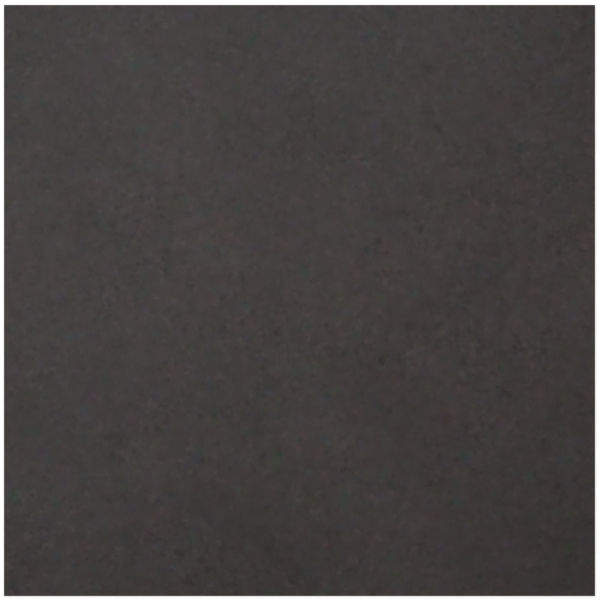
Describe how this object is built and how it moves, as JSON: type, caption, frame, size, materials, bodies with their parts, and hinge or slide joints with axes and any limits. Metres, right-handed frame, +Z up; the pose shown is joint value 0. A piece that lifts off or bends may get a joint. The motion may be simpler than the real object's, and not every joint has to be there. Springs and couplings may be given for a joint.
{
  "type": "floor tile",
  "caption": "Square matt dark grey stoneware floor tile: flat face with a fine ground bevel, square ground edges, and a ribbed back that keys into mortar.",
  "frame": {"origin": "centre of the plane of the main ribs' tops on the back, which the tile rests on", "axes": "+Z up, out of the face that is walked on; X and Y run along the edges"},
  "size_m": [0.597, 0.597, 0.0095],
  "materials": {
    "stoneware": "matt anthracite face with a fine cloudy mottle, ground edges, pressed back"
  },
  "bodies": {
    "root": {"floor_tile": "stoneware"}
  },
  "joints": []
}
